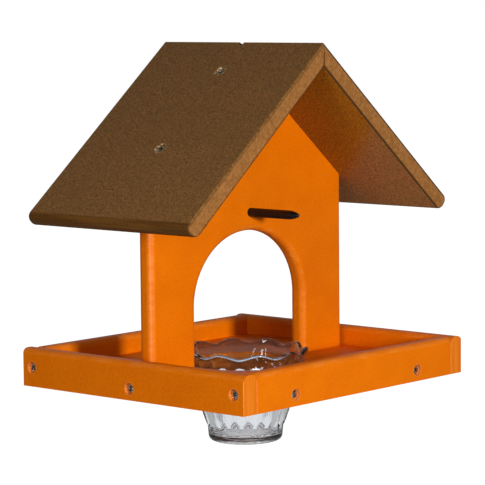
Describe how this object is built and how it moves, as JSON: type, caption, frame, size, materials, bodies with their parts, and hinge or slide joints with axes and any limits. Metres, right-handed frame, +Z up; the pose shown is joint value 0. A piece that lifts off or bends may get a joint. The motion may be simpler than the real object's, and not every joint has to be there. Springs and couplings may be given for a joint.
{
  "type": "oriole feeder",
  "caption": "Hanging bird feeder with a gabled roof over an arched upright, a peg for fruit halves and a railed tray that holds a lift-out scalloped jelly cup.",
  "frame": {"origin": "the upright's peak, on the axis of the hanging hole that is drilled down through the ridge", "axes": "+X to the right along the tray's front, +Y to the rear along the ridge, +Z up"},
  "size_m": [0.2754, 0.205, 0.2802],
  "materials": {
    "roof_board": "brown plastic lumber, satin, finely mottled",
    "body_board": "orange plastic lumber, satin, with routed edges",
    "peg": "black satin plastic",
    "cup_glass": "clear pressed glass, polished",
    "screw": "stainless steel"
  },
  "bodies": {
    "feeder": {"roof_panel_left": "roof_board", "roof_panel_right": "roof_board", "upright_panel": "body_board", "tray_floor": "body_board", "side_rail_left": "body_board", "side_rail_right": "body_board", "front_rail": "body_board", "rear_rail": "body_board", "orange_peg": "peg", "roof_screws_left": "screw", "roof_screws_right": "screw", "side_rail_screws_left": "screw", "side_rail_screws_right": "screw", "front_rail_screws": "screw", "rear_rail_screws": "screw", "leg_screws": "screw"},
    "cup": {"jelly_cup": "cup_glass"}
  },
  "joints": [
    {"name": "cup_lift", "type": "slide", "parent": "feeder", "child": "cup", "axis": [0, 0, 1], "range_m": [0, 0.058]}
  ]
}
